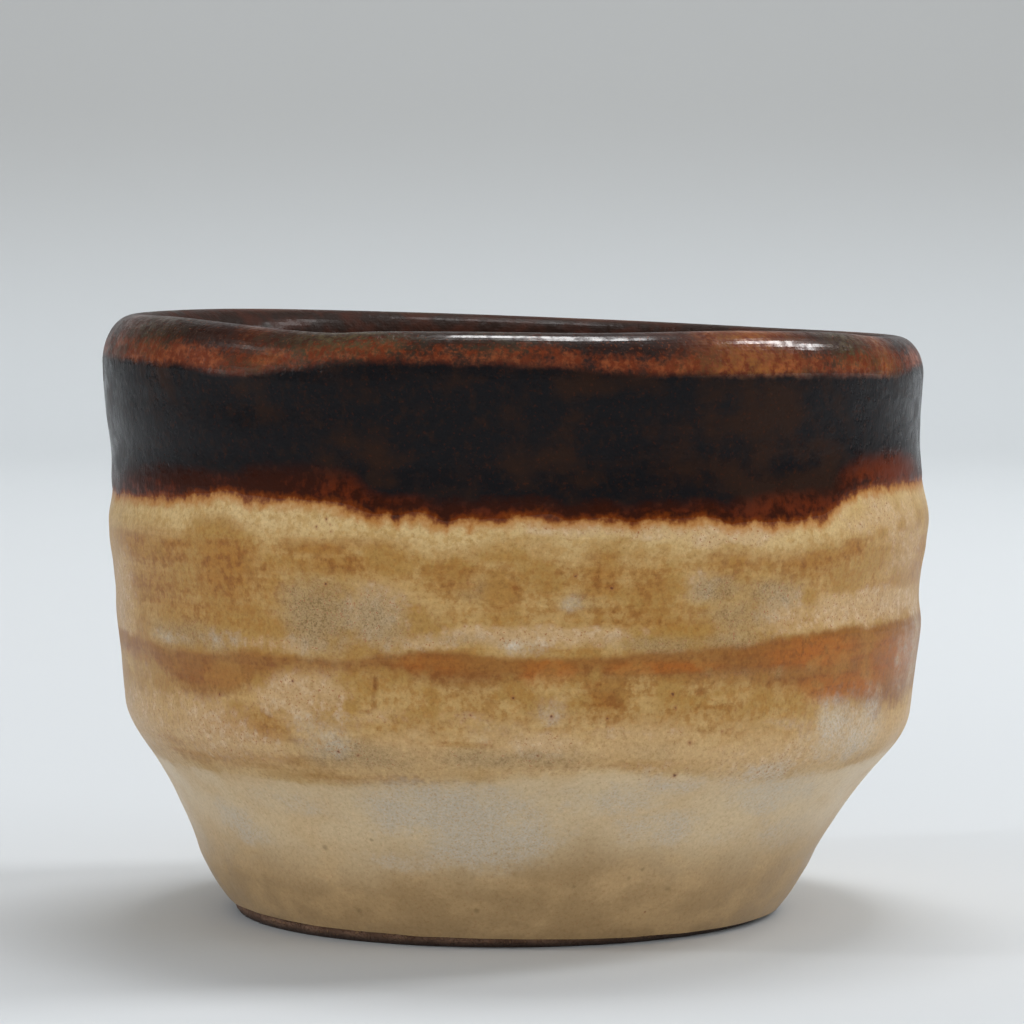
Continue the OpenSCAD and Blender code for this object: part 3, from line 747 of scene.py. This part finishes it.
# --- effects that more than one glaze uses ---
def brushed_streaks():
    """Streaks of a brush that went round the cup while it turned."""
    takes = {"Length": 14.0, "Width": 0.9, "Seed": 0.0}
    r, taken = new_tree("brushed_streaks", takes, {"Streaks": "Float"})
    along, up = 1 / MM / taken["Length"], 1 / MM / taken["Width"]
    scaled = r.vector("MULTIPLY", r.here(), r.join(along, along, up))
    spot = r.vector("ADD", scaled, r.join(taken["Seed"], 0.0, taken["Seed"]))
    noise = r.noise_at(spot, 1.0, 4.0, Roughness=0.6)
    return r.give({"Streaks": r.fade(noise, 0.3, 0.7)})


def fine_grains():
    """Fine grains with a size in mm: a mask of those that are dense, and one of those that are sparse."""
    r, taken = new_tree("fine_grains", {"Size": 0.2, "Seed": 0.0}, {"Dense": "Float", "Sparse": "Float"})
    scaled = r.scaled(r.here(), 1 / MM / taken["Size"])
    spot = r.vector("ADD", scaled, r.join(taken["Seed"], taken["Seed"], 0.0))
    noise = r.noise_at(spot, 1.0, 1.0, Roughness=0.5)
    return r.give({"Dense": r.fade(noise, 0.48, 0.62), "Sparse": r.fade(noise, 0.63, 0.72)})


def speck_spot(turn, height):
    """Where a single speck lies on the outside, in metres."""
    radius = smooth(OUTSIDE, np.array([height]), GLAZE_LINE_SLOPE, 0)[0][0]
    x = radius * math.cos(math.radians(turn)) + smooth(DRIFT, np.array([height]))[0][0]
    y = radius * math.sin(math.radians(turn))
    lean = math.radians(LEAN)
    over = FOOT_X + x * math.cos(lean) + height * math.sin(lean)
    raised = height * math.cos(lean) - x * math.sin(lean)
    return (over * MM, y * MM, raised * MM)


def nearest(r, near, spots):
    """Distance to the nearest of the spots, in units of its radius."""
    closest = 10.0
    for turn, height, radius in spots:
        inputs = {0: near, 1: speck_spot(turn, height)}
        apart = r.add("ShaderNodeVectorMath", inputs, out=1, operation="DISTANCE")
        closest = r.math("MINIMUM", closest, apart / (radius * MM))
    return closest


def single_specks():
    """Larger iron specks: those that show singly at the front, and a scatter over the rest."""
    gives = {"Core": "Float", "Halo": "Float", "Soft": "Float"}
    r, taken = new_tree("single_specks", {"Scatter": 0.5}, gives)
    where = r.here()
    wobble = r.add("ShaderNodeTexNoise", {"Vector": where, "Scale": 1 / (0.35 * MM), "Detail": 1.0}, out=1)
    shift = r.vector("MULTIPLY", r.vector("SUBTRACT", wobble, (0.5, 0.5, 0.5)), (0.2 * MM,) * 3)
    near = r.vector("ADD", where, shift)
    cells = r.outputs("ShaderNodeTexVoronoi", {"Vector": near, "Scale": 1 / (3.4 * MM)}, feature="F1")
    pick = r.split(cells[1])[0]
    size = r.fade(pick, 0.45, 1.0, 0.0, 0.05) * taken["Scatter"]
    closest = r.math("MINIMUM", nearest(r, near, SPECKS), cells[0] / (size + 0.0001))
    soft = nearest(r, near, SOFT_SPECKS)
    return r.give({
        "Core": r.fade(closest, 0.85, 0.35),
        "Halo": r.fade(closest, 1.7, 0.5),
        "Soft": r.fade(soft, 1.2, 0.2),
    })


def fired_skin():
    """The fine relief of a fired glaze: orange peel, grains and pinholes."""
    r, taken = new_tree("fired_skin", {"Peel": 1.4, "Grain": 0.25, "Pits": 0.4}, {"Height": "Float"})
    where = r.here()
    peel = r.noise_at(where, 1 / MM / taken["Peel"], 2.0)
    grain = r.noise_at(where, 1 / MM / taken["Grain"], 1.0)
    pores = r.add("ShaderNodeTexVoronoi", {"Vector": where, "Scale": 1 / (1.1 * MM)}, feature="F1")
    return r.give({"Height": peel + grain * 0.28 - r.fade(pores, 0.16, 0.05) * taken["Pits"]})


# --- colours of the outside glazes ---
STRAW = tone(166, 128, 66)
STRAW_LIGHT = tone(186, 152, 96)
CREAM = tone(202, 173, 122)
OCHRE = tone(158, 107, 40)
DEEP_OCHRE = tone(136, 84, 24)
HAZE = tone(154, 131, 95)
HAZE_DARK = tone(110, 92, 62)
HAZE_LIGHT = tone(176, 153, 120)
BLOOM = tone(190, 158, 117)
BLOOM_LIGHT = tone(206, 180, 146)
MILK = tone(192, 184, 170)
MILK_DEEP = tone(172, 156, 132)
PALE = tone(205, 181, 143)
# a darker tan: painted shade low on the pale base, and the colour of the pale grit in the bare clay
TAN_SHADE_AND_GRIT = tone(162, 133, 92)
PALE_WARM = tone(196, 164, 118)
IRON_ORANGE = tone(158, 82, 8)
IRON_BROWN = tone(130, 76, 22)
IRON_DEEP = tone(110, 60, 12)
SPECK_BROWN = tone(84, 42, 22)
RUSTY_SPECK = tone(150, 84, 44)
SOFT_SPECK = tone(118, 96, 58)
TAN_EDGE = tone(170, 108, 40)
RUST_EDGE = tone(112, 50, 8)
RED_BROWN = tone(50, 19, 7)
FRINGE_RUST = tone(96, 38, 12)
BLACK_BROWN = tone(22, 21, 23)
BROWN_VEIL = tone(42, 27, 20)
LIP_RUST = tone(108, 48, 24)
LIP_ORANGE = tone(146, 74, 36)
LIP_BROWN = tone(34, 20, 15)
LIP_GOLD = tone(152, 92, 34)
LIP_OLIVE = tone(84, 70, 40)
WELL_BROWN = tone(37, 22, 15)
WELL_RED = tone(60, 30, 19)
CLAY_BROWN = tone(128, 99, 80)
CLAY_DARK = tone(98, 73, 58)
# painted contact shadow for the lowest edge of the foot
CLAY_CONTACT_SHADE = tone(48, 35, 28)


def grainy(r, colour, size, seed, dark, light):
    """The colour broken up by fine darker and lighter grains, with the share of each."""
    grit = r.noise(size, seed, detail=3.0, rough=0.7)
    darker = r.tint(1.0, colour, (0.74, 0.69, 0.6, 1), "MULTIPLY")
    lighter = r.tint(1.0, colour, (1.24, 1.25, 1.3, 1), "MULTIPLY")
    colour = r.tint(r.fade(grit, 0.5, 0.3) * dark, colour, darker)
    return r.tint(r.fade(grit, 0.5, 0.7) * light, colour, lighter)


def wall_colours(streaks, grains, spots):
    """Colour, gloss and relief of the pale and straw glazes and of the iron stripe in them."""
    gives = {"Color": "Color", "Roughness": "Float", "Height": "Float"}
    r, taken = new_tree("wall_colours", {"Grain Strength": 1.0}, gives)
    broad = r.noise(8.0, 1.0, detail=2.0)
    cloud = r.noise(2.6, 2.0, detail=4.0, rough=0.52, stretch=1.4)
    mottle = r.noise(0.7, 3.0, detail=4.0, rough=0.62)
    streak = r.place(streaks, {"Length": 18.0, "Width": 0.8, "Seed": 4.0})["Streaks"]
    grain = r.place(grains, {"Size": 0.16, "Seed": 5.0})
    red_grain = r.place(grains, {"Size": 0.17, "Seed": 9.0})
    uneven = r.swing(cloud, 1.7) + r.swing(mottle, 0.9)

    def patch(name, low=0.1, high=0.85, unevenness=1.0):
        """A patch whose edge wanders with the mottling of the glaze."""
        wander = uneven * r.fade(r.mark(name), 0.0, 0.3, 0.15, unevenness)
        return r.fade(r.mark(name) + wander, low, high)

    # the pale glaze on the base: milky above, and darker and warmer towards the foot, which is painted shade
    # where the base turns under
    shade_to_foot = r.mark("over_straw_line") + r.swing(broad, 3.4)
    pale = r.laid(PALE, (TAN_SHADE_AND_GRIT, shade_to_foot, -3.2, -9.4), (PALE_WARM, cloud, 0.4, 0.66, 0.45))
    # the straw glaze on the wall, paler again as it nears the base
    paler = r.mark("over_straw_line") + uneven * 2.6
    straw = r.laid(
        STRAW, (STRAW_LIGHT, cloud, 0.4, 0.6), (OCHRE, mottle, 0.44, 0.62, 0.5), (OCHRE, streak * 0.22),
        (PALE_WARM, paler, 5.6, 1.6, 0.78),
    )
    # ochre washed over it, and cream where the dark glaze has drawn back
    brushed = r.mark("wash") + uneven * 0.9 + r.swing(streak, 0.3)
    washed = r.laid(OCHRE, (DEEP_OCHRE, mottle, 0.44, 0.62), (STRAW, cloud, 0.5, 0.64, 0.5))
    under = r.mark("over_dark_line") + uneven * 2.2
    cream = r.laid(CREAM, (STRAW_LIGHT, mottle, 0.42, 0.62))
    straw = r.laid(straw, (washed, brushed, 0.1, 1.0, 0.94), (cream, under, -3.6, -1.0, 0.95))
    # the two meet softly, with a little ochre pooled here and there
    meet = r.mark("over_straw_line") + uneven * 0.8
    pooled = r.fade(meet, -0.3, 0.3) * r.fade(meet, 1.8, 0.3) * r.fade(broad, 0.46, 0.62, 0.0, 0.5)
    # thin and clouded glaze
    bloom = patch("bloom")
    blooming = r.laid(BLOOM, (BLOOM_LIGHT, mottle, 0.48, 0.64))
    # the iron stripe: a firm top, and a foot that the brush has drawn out
    top = r.mark("over_stripe_top") + r.swing(mottle, 0.7)
    foot = r.mark("over_stripe_foot") + uneven * 1.4
    thick = r.mark("iron") + uneven * 0.8
    iron = r.laid(
        IRON_BROWN, (IRON_ORANGE, thick, 0.2, 0.9), (IRON_DEEP, mottle, 0.46, 0.62, 0.6),
        (OCHRE, streak * 0.4), (STRAW, cloud, 0.5, 0.64, 0.35),
    )
    stripe = r.fade(top, 0.28, -0.34) * r.fade(foot, -0.7, 1.0) * r.fade(thick, -0.5, 0.6, 0.7, 0.96)
    stripe = r.math("MAXIMUM", stripe, patch("run", 0.3, 0.8, 0.5) * 0.75)
    # grey haze full of grains, and milky clouds crackled with fine red
    haze = patch("haze", 0.05, 1.15, 0.8)
    hazed = r.laid(HAZE, (HAZE_DARK, grain["Dense"] * 0.85), (HAZE_LIGHT, red_grain["Dense"] * 0.6))
    # the milky clouds also carry painted light on the right side of the base
    milk_and_painted_light = patch("milk_and_painted_light", 0.05, 1.0)
    milky = r.laid(MILK, (PALE_WARM, red_grain["Dense"] * 0.45), (MILK_DEEP, grain["Dense"] * 0.3))
    # grains: thick in the clouds, thin elsewhere
    thin = 0.15 + r.math("MAXIMUM", haze, bloom) * 0.35
    colour = r.laid(
        pale, (straw, meet, -0.7, 0.9), (STRAW, pooled), (blooming, bloom * 0.7), (iron, stripe),
        (hazed, haze * 0.72), (milky, milk_and_painted_light * 0.7), (RUSTY_SPECK, red_grain["Sparse"] * thin * 1.6),
    )
    strength = taken["Grain Strength"]
    colour = grainy(r, colour, 0.3, 6.0, strength, strength * 0.8)
    spotted = r.place(spots, {"Scatter": 0.7})
    colour = r.laid(
        colour, (RUSTY_SPECK, spotted["Halo"] * 0.4), (SPECK_BROWN, spotted["Core"] * 0.8),
        (SOFT_SPECK, spotted["Soft"] * 0.5),
    )
    rough = r.fade(cloud, 0.35, 0.65, 0.38, 0.5) + haze * 0.12
    return r.give({"Color": colour, "Roughness": rough, "Height": mottle - spotted["Core"] * 0.6})


def dark_colours(streaks, grains):
    """Colour, gloss and relief of the black-brown band and of the rust-brown lip above it."""
    gives = {"Color": "Color", "Roughness": "Float", "Gloss Coat": "Float", "Height": "Float"}
    r, taken = new_tree("dark_colours", {"Lip Coat": 0.6}, gives)
    broad = r.noise(7.0, 11.0, detail=2.0)
    cloud = r.noise(2.0, 12.0, detail=4.0, rough=0.55, stretch=1.4)
    mottle = r.noise(0.7, 13.0, detail=3.0, rough=0.6)
    grain = r.place(grains, {"Size": 0.22, "Seed": 14.0})
    streak = r.place(streaks, {"Length": 7.0, "Width": 0.7, "Seed": 15.0})["Streaks"]
    uneven = r.swing(cloud, 1.7) + r.swing(mottle, 1.0)
    # the band: near black under a brown veil, with rusty clouds in the fringe above its lower edge
    veil = r.mark("veil") * 0.45 + broad + r.swing(cloud, 1.0)
    width = 0.6 + r.mark("fringe") * 2.0
    over = (r.mark("over_dark_line") + uneven * 1.5) / width
    rusted = r.mark("glow") * 0.6 + r.swing(cloud, 1.4) + r.swing(mottle, 2.0)
    reddened = r.laid(RED_BROWN, (FRINGE_RUST, rusted, 0.05, 0.8))
    band = r.laid(
        BLACK_BROWN, (BROWN_VEIL, veil, 0.52, 0.9), (BROWN_VEIL, mottle, 0.5, 0.68, 0.5),
        (RUST_EDGE, grain["Sparse"] * 0.12), (reddened, over, 1.6, 0.3),
    )
    # the lip: rust below, with golden and olive stretches, darker towards the crest and inside it
    over_lip = r.mark("over_lip_line") + uneven * 0.35
    lip_share = r.math("MAXIMUM", r.fade(over_lip, -0.45, 0.4), r.mark("inward"))
    speckle = r.noise(0.28, 16.0, detail=2.0)
    dark_spots = cloud + r.swing(mottle, 0.7) + r.mark("dim") * 0.14 + r.swing(speckle, 0.5)
    golden = r.mark("gold") * r.fade(r.swing(speckle, 1.2) + r.swing(mottle, 1.6), -0.4, 0.5)
    high = over_lip + r.swing(broad, 1.8) + r.swing(mottle, 1.2) + r.swing(speckle, 1.2) + r.mark("dim") * 0.5
    dim = 0.95 - r.mark("gold") * 0.7
    olive = r.fade(r.swing(speckle, 1.0) + r.swing(mottle, 1.0), -0.3, 0.3)
    olive = olive * r.mark("olive") * r.fade(over_lip, 0.0, 1.2, 0.2, 0.9)
    liner = r.laid(WELL_BROWN, (WELL_RED, cloud, 0.4, 0.62))
    lip = r.laid(
        LIP_RUST, (LIP_ORANGE, mottle, 0.42, 0.6), (LIP_RUST, cloud, 0.42, 0.6),
        (LIP_BROWN, dark_spots, 0.42, 0.76, 0.92), (LIP_GOLD, golden * 0.75),
        (LIP_BROWN, r.fade(high, 0.9, 2.1) * dim), (LIP_OLIVE, olive), (LIP_ORANGE, grain["Sparse"] * 0.3),
        (LIP_BROWN, streak * 0.2), (liner, r.mark("inward")),
    )
    colour = r.laid(band, (lip, lip_share))
    rough = r.fade(cloud, 0.3, 0.7, 0.2, 0.36) + r.fade(over, 1.0, 0.0, 0.0, 0.12)
    rough = rough + lip_share * 0.12 + r.mark("inward") * 0.12
    outward = (1.0 - r.mark("inward") * 0.9) * r.fade(mottle, 0.36, 0.6, 0.35, 1.25)
    glossy = lip_share * outward * taken["Lip Coat"]
    height = cloud + mottle * 0.5
    return r.give({"Color": colour, "Roughness": rough, "Gloss Coat": glossy, "Height": height})


def rusty_edge():
    """Where the dark glaze thins over the straw glaze: tan, then rust, with a soft wandering edge."""
    r, taken = new_tree("rusty_edge", {"Below": CREAM, "Above": BLACK_BROWN}, {"Color": "Color"})
    small = r.noise(0.5, 21.0, detail=3.0, rough=0.6)
    larger = r.noise(1.5, 22.0)
    over = r.mark("over_dark_line") + r.swing(small, 1.0) + r.swing(larger, 0.85) + r.mark("stain") * 0.55
    colour = r.laid(
        taken["Below"], (TAN_EDGE, over, -1.1, -0.15, 0.85), (RUST_EDGE, over, -0.4, 0.1),
        (taken["Above"], over, -0.1, 0.55),
    )
    return r.give({"Color": colour})


# --- materials ---
def new_material(name):
    """A material with one Principled shader, which its recipe feeds."""
    material = bpy.data.materials.new(name)
    material.use_nodes = True
    tree = material.node_tree
    tree.nodes.clear()
    r = Recipe(tree, "ShaderNodeBsdfPrincipled")
    surface = tree.nodes.new("ShaderNodeOutputMaterial").inputs["Surface"]
    tree.links.new(r.end.outputs[0], surface)
    return material, r


def outside_glaze(name, kit, grain_strength, specular, coat_weight):
    """A glaze of the wall: pale, straw or the iron stripe."""
    material, r = new_material(name)
    paint = r.place(kit["wall"], {"Grain Strength": grain_strength})
    fired = r.place(kit["skin"], {"Peel": 1.6, "Grain": 0.3, "Pits": 0.3})["Height"]
    r.give({
        "Base Color": r.place(kit["edge"], {"Below": paint["Color"]})["Color"],
        "Roughness": paint["Roughness"],
        "Specular IOR Level": specular,
        "Coat Weight": coat_weight,
        "Coat Roughness": 0.3,
        "Normal": r.relief(fired + paint["Height"] * 0.4, 0.03),
    })
    return material


def dark_coat(name, kit, relief_depth):
    """The black-brown band, or the rust-brown lip."""
    material, r = new_material(name)
    paint = r.place(kit["dark"], {"Lip Coat": 0.3})
    fired = r.place(kit["skin"], {"Peel": 0.8, "Grain": 0.25, "Pits": 0.3})["Height"]
    r.give({
        "Base Color": r.place(kit["edge"], {"Above": paint["Color"]})["Color"],
        "Roughness": paint["Roughness"],
        "Specular IOR Level": 0.08,
        "Coat Weight": paint["Gloss Coat"],
        "Coat IOR": 2.2,
        "Coat Roughness": 0.13,
        "Normal": r.relief(fired + paint["Height"] * 0.6, relief_depth),
    })
    return material


def liner_glaze(kit):
    """The dark red-brown liner of the well."""
    material, r = new_material("inner_glaze")
    broad = r.noise(7.0, 31.0)
    cloud = r.noise(1.6, 32.0, detail=4.0)
    streak = r.place(kit["streaks"], {"Length": 20.0, "Width": 1.4, "Seed": 33.0})["Streaks"]
    grain = r.place(kit["grains"], {"Size": 0.3, "Seed": 34.0})["Sparse"]
    colour = r.laid(
        WELL_BROWN, (WELL_RED, broad, 0.35, 0.65), (BLACK_BROWN, streak * 0.35),
        (BROWN_VEIL, cloud, 0.45, 0.7, 0.5), (LIP_RUST, grain * 0.5),
    )
    fired = r.place(kit["skin"], {"Peel": 1.3, "Grain": 0.3, "Pits": 0.4})["Height"]
    r.give({
        "Base Color": colour,
        "Roughness": r.fade(cloud, 0.3, 0.7, 0.25, 0.4),
        "Specular IOR Level": 0.1,
        "Normal": r.relief(fired + streak * 0.8, 0.035),
    })
    return material


def bare_clay(kit):
    """Gritty unglazed clay, browned by the fire, with painted shade darkening it towards where it stands."""
    material, r = new_material("bare_clay")
    cloud = r.noise(2.2, 41.0, detail=4.0)
    fine = r.noise(0.35, 42.0)
    grain = r.place(kit["grains"], {"Size": 0.3, "Seed": 43.0})
    height = r.split(r.here())[2]
    # the darkest clay over the last 0.8 mm above the table is painted shade: the contact shadow under the
    # foot
    colour = r.laid(
        CLAY_BROWN, (CLAY_DARK, cloud, 0.35, 0.65), (SPECK_BROWN, grain["Dense"] * 0.25),
        (TAN_SHADE_AND_GRIT, grain["Sparse"] * 0.4), (CLAY_CONTACT_SHADE, height, 0.8 * MM, 0.2 * MM, 0.9),
    )
    r.give({
        "Base Color": colour,
        "Roughness": r.fade(fine, 0.3, 0.7, 0.75, 0.95),
        "Normal": r.relief(fine + grain["Dense"] * 0.7, 0.12),
    })
    return material


# --- the pieces ---
def clay_underside():
    """Rings of the recess and the standing ring, from the axis out to the bare bevel."""
    line_r, line_z = outside(glaze_line, GLAZE_T)
    ring_out_r = FOOT_R - FOOT_IN - GLAZE_T * 0.74 - BEVEL_W
    ring_in_r = ring_out_r - RING_W
    rings = [level_ring(radius, RECESS_H) for radius in RECESS_RINGS]
    for i in range(9):
        corner = math.radians(90 - 90 * i / 8)
        radius = ring_in_r - RECESS_CORNER_R * (1 - math.cos(corner))
        rings.append(level_ring(radius, RECESS_H - RECESS_CORNER_R * (1 - math.sin(corner))))
    rings.append(level_ring(ring_in_r, RING_EDGE_R + 0.05))
    for i in range(5):
        corner = math.radians(22.5 * i)
        radius = ring_in_r + RING_EDGE_R * (1 - math.cos(corner))
        rings.append(level_ring(radius, RING_EDGE_R * (1 - math.sin(corner))))
    for share in (0.25, 0.5, 0.75):
        rings.append(level_ring(ring_in_r + RING_EDGE_R + (RING_W - 0.5) * share, 0.0))
    rings.append(level_ring(ring_out_r - 0.2, 0.0))
    rings.append(level_ring(ring_out_r - 0.05, 0.04))
    for i in range(1, 7):
        corner = math.radians(90 * i / 7)
        rings.append((ring_out_r + (line_r - ring_out_r) * math.sin(corner), line_z * (1 - math.cos(corner))))
    return rings


def clay_body():
    """The thrown body in one piece of clay, under all the coats and bare at the foot."""
    rings = clay_underside()
    rings += wall(glaze_line, lip_foot, GLAZE_T, CLAY_STEP)
    rings += rounded_lip(GLAZE_T, CLAY_LIP_ROWS)[1:]
    rings += well(GLAZE_T, CLAY_STEP, CLAY_BOWL_ROWS)[1:]
    return skin("clay", rings, poles=(RECESS_H, FLOOR_Z - GLAZE_T))


def pale_coat():
    outer = wall(glaze_line, straw_line, 0, OUTER_STEP)
    return coat("pale", outer, wall(glaze_line, straw_line, GLAZE_T, BACK_STEP))


def straw_coat():
    """The straw coat, with a channel where the iron has sunk in."""
    outer = wall(straw_line, stripe_foot, 0, OUTER_STEP)
    outer += wall(stripe_foot, stripe_top, STRIPE_T, BACK_STEP)
    outer += wall(stripe_top, dark_line, 0, OUTER_STEP)
    return coat("straw", outer, wall(straw_line, dark_line, GLAZE_T, BACK_STEP))


def iron_band():
    outer = wall(stripe_foot, stripe_top, 0, OUTER_STEP)
    return coat("iron", outer, wall(stripe_foot, stripe_top, STRIPE_T, BACK_STEP))


def dark_band():
    """The thick dark coat, with a soft roll where it stopped running."""
    outer = []
    for height in between(dark_line, lip_foot, OUTER_STEP):
        radius, level = outside(height)
        over = (height - dark_line) / DARK_ROLL_Z
        outer.append((radius + DARK_ROLL_T * over * np.exp(1 - over), level))
    outer[-1] = outside(lip_foot)
    return coat("dark", outer, wall(dark_line, lip_foot, GLAZE_T, BACK_STEP))


def lip_coat():
    return coat("lip", rounded_lip(0, LIP_ROWS), rounded_lip(GLAZE_T, BACK_LIP_ROWS))


def well_liner():
    """The liner: its finished face closes on the floor, its back on the clay."""
    face = well(0, INSIDE_STEP, BOWL_ROWS)
    back = well(GLAZE_T, BACK_STEP, BACK_BOWL_ROWS)
    return skin("liner", back[::-1] + face, poles=(FLOOR_Z - GLAZE_T, FLOOR_Z), edges=(len(back) - 1,))


def build_cup():
    streaks, grains, spots = brushed_streaks(), fine_grains(), single_specks()
    kit = {
        "streaks": streaks,
        "grains": grains,
        "skin": fired_skin(),
        "wall": wall_colours(streaks, grains, spots),
        "dark": dark_colours(streaks, grains),
        "edge": rusty_edge(),
    }
    wheel = potters_wheel()
    glazes = {
        "bare_clay": bare_clay(kit),
        "pale_glaze": outside_glaze("pale_glaze", kit, 0.5, 0.35, 0.2),
        "straw_glaze": outside_glaze("straw_glaze", kit, 0.75, 0.28, 0.05),
        "iron_stripe": outside_glaze("iron_stripe", kit, 0.75, 0.28, 0.05),
        "dark_glaze": dark_coat("dark_glaze", kit, 0.04),
        "lip_glaze": dark_coat("lip_glaze", kit, 0.09),
        "inner_glaze": liner_glaze(kit),
    }
    made = [
        ("thrown_clay", clay_body, "clay_body", "bare_clay"),
        ("pale_coat", pale_coat, "pale_glaze", "pale_glaze"),
        ("straw_coat", straw_coat, "straw_glaze", "straw_glaze"),
        ("iron_band", iron_band, "iron_stripe", "iron_stripe"),
        ("dark_band", dark_band, "dark_glaze", "dark_glaze"),
        ("lip_coat", lip_coat, "lip_glaze", "lip_glaze"),
        ("well_liner", well_liner, "inner_glaze", "inner_glaze"),
    ]
    for name, shape, node, slot in made:
        piece = turned(wheel, name, shape(), glazes[slot])
        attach(piece, "root")
        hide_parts(node)


# --- studio ---
BACKDROP = tone(206, 210, 213)
# paper tones that paint how the light falls across the sheet: lighter far back on the floor, darker up the
# wall
FLOOR_PAPER = tone(205, 209, 212)
FAR_PAPER_LIT = tone(220, 225, 228)
WALL_PAPER_SHADED = tone(191, 193, 193)
BLACK = (0.0, 0.0, 0.0, 1.0)


def studio_cove():
    """One pale sheet: the floor, and the wall that it sweeps up into behind the cup.

    Far out to the sides and the front, where the lamps don't reach, the camera sees the backdrop's tone."""
    floor_front, bend_y, bend_r, wall_top, half = -3.0, 0.75, 0.5, 3.0, 3.0
    outline = [(floor_front, 0.0), (bend_y, 0.0)]
    for i in range(1, 25):
        angle = math.radians(90 * i / 24)
        outline.append((bend_y + bend_r * math.sin(angle), bend_r * (1 - math.cos(angle))))
    outline.append((bend_y + bend_r, wall_top))
    verts = [(side, y, z) for y, z in outline for side in (-half, half)]
    faces = [(2 * i, 2 * i + 1, 2 * i + 3, 2 * i + 2) for i in range(len(outline) - 1)]
    mesh = bpy.data.meshes.new("studio_cove")
    mesh.from_pydata(verts, [], faces)
    for face in mesh.polygons:
        face.use_smooth = True
    cove = bpy.data.objects.new("studio_cove", mesh)
    bpy.context.scene.collection.objects.link(cove)
    material, r = new_material("studio_paper")
    x, y, z = r.split(r.here())
    # painted light: the paper is lighter farther back on the floor and darker up the wall
    paper = r.laid(FLOOR_PAPER, (FAR_PAPER_LIT, y, 0.15, 0.75), (WALL_PAPER_SHADED, z, 0.005, 0.1))
    outward = r.math("MAXIMUM", r.math("ABSOLUTE", x), y * -1.0)
    seen = r.fade(outward, 0.4, 1.1) * r.add("ShaderNodeLightPath")
    r.give({
        "Base Color": r.tint(seen, paper, BLACK),
        "Emission Color": r.tint(seen, BLACK, BACKDROP),
        "Emission Strength": 1.0,
        "Roughness": 0.9,
        "Specular IOR Level": 0.2,
    })
    mesh.materials.append(material)


def soft_lamp(name, place, aim, width, height, brightness, mirrored=True):
    """A soft box of the given brightness, aimed at a point. One that isn't mirrored leaves no highlight."""
    lamp = bpy.data.lights.new(name, "AREA")
    lamp.shape = "RECTANGLE"
    lamp.size, lamp.size_y = width, height
    lamp.energy = brightness * math.pi * width * height
    holder = bpy.data.objects.new(name, lamp)
    bpy.context.scene.collection.objects.link(holder)
    holder.location = place
    reach = [b - a for a, b in zip(place, aim)]
    level = math.hypot(reach[0], reach[1])
    holder.rotation_euler = (math.atan2(level, -reach[2]), 0, math.atan2(-reach[0], reach[1]))
    holder.visible_glossy = mirrored


def studio_world():
    """An even pale world: dim where it lights the cup, and brighter where the camera sees it."""
    world = bpy.data.worlds.new("studio")
    world.use_nodes = True
    tree = world.node_tree
    tree.nodes.clear()
    lighting = tree.nodes.new("ShaderNodeBackground")
    lighting.inputs["Color"].default_value = (0.92, 0.96, 1.0, 1)
    lighting.inputs["Strength"].default_value = 0.17
    seen = tree.nodes.new("ShaderNodeBackground")
    seen.inputs["Color"].default_value = BACKDROP
    pick = tree.nodes.new("ShaderNodeMixShader")
    tree.links.new(tree.nodes.new("ShaderNodeLightPath").outputs["Is Camera Ray"], pick.inputs[0])
    tree.links.new(lighting.outputs[0], pick.inputs[1])
    tree.links.new(seen.outputs[0], pick.inputs[2])
    tree.links.new(pick.outputs[0], tree.nodes.new("ShaderNodeOutputWorld").inputs["Surface"])
    bpy.context.scene.world = world


def studio_light():
    middle = (0, 0, 0.03)
    soft_lamp("front_fill", (-0.1, -0.75, 0.2), middle, 0.8, 0.4, 2.3, mirrored=False)
    soft_lamp("right_fill", (0.7, -0.25, 0.3), middle, 0.5, 0.5, 2.3, mirrored=False)
    soft_lamp("left_fill", (-0.7, -0.15, 0.3), middle, 0.5, 0.5, 0.7, mirrored=False)
    soft_lamp("top_sky", (0.0, 0.1, 0.8), middle, 0.8, 0.6, 0.2, mirrored=False)
    soft_lamp("wall_wash", (0.0, 0.65, 1.0), (0, 1.1, 0.0), 1.6, 0.4, 2.7, mirrored=False)
    soft_lamp("top_window", (0.05, 0.2, 0.76), (0, 0, 0.045), 0.3, 0.2, 13.0)
    soft_lamp("right_window", (0.56, 0.18, 0.6), (0, 0, 0.045), 0.16, 0.32, 14.5)
    soft_lamp("left_window", (-0.655, -0.15, 0.32), (0, 0, 0.045), 0.065, 0.065, 70.0)


# --- camera, at the photograph's viewing angle ---
CAMERA_X, CAMERA_Y, CAMERA_Z = -0.275, -360.0, 54.3
CAMERA_DOWN = 3.53
FOCAL_PIXELS = 4461.0
FRAME_PIXELS = 1024
SENSOR_W = 36.0


def photo_camera():
    data = bpy.data.cameras.new("camera")
    data.sensor_width = SENSOR_W
    data.lens = FOCAL_PIXELS / FRAME_PIXELS * SENSOR_W
    data.clip_start, data.clip_end = 0.01, 20
    camera = bpy.data.objects.new("camera", data)
    bpy.context.scene.collection.objects.link(camera)
    camera.location = (CAMERA_X * MM, CAMERA_Y * MM, CAMERA_Z * MM)
    camera.rotation_euler = (math.radians(90 - CAMERA_DOWN), 0, 0)
    bpy.context.scene.camera = camera


build_cup()
studio_cove()
studio_world()
studio_light()
photo_camera()
bpy.context.scene.view_settings.view_transform = "Standard"
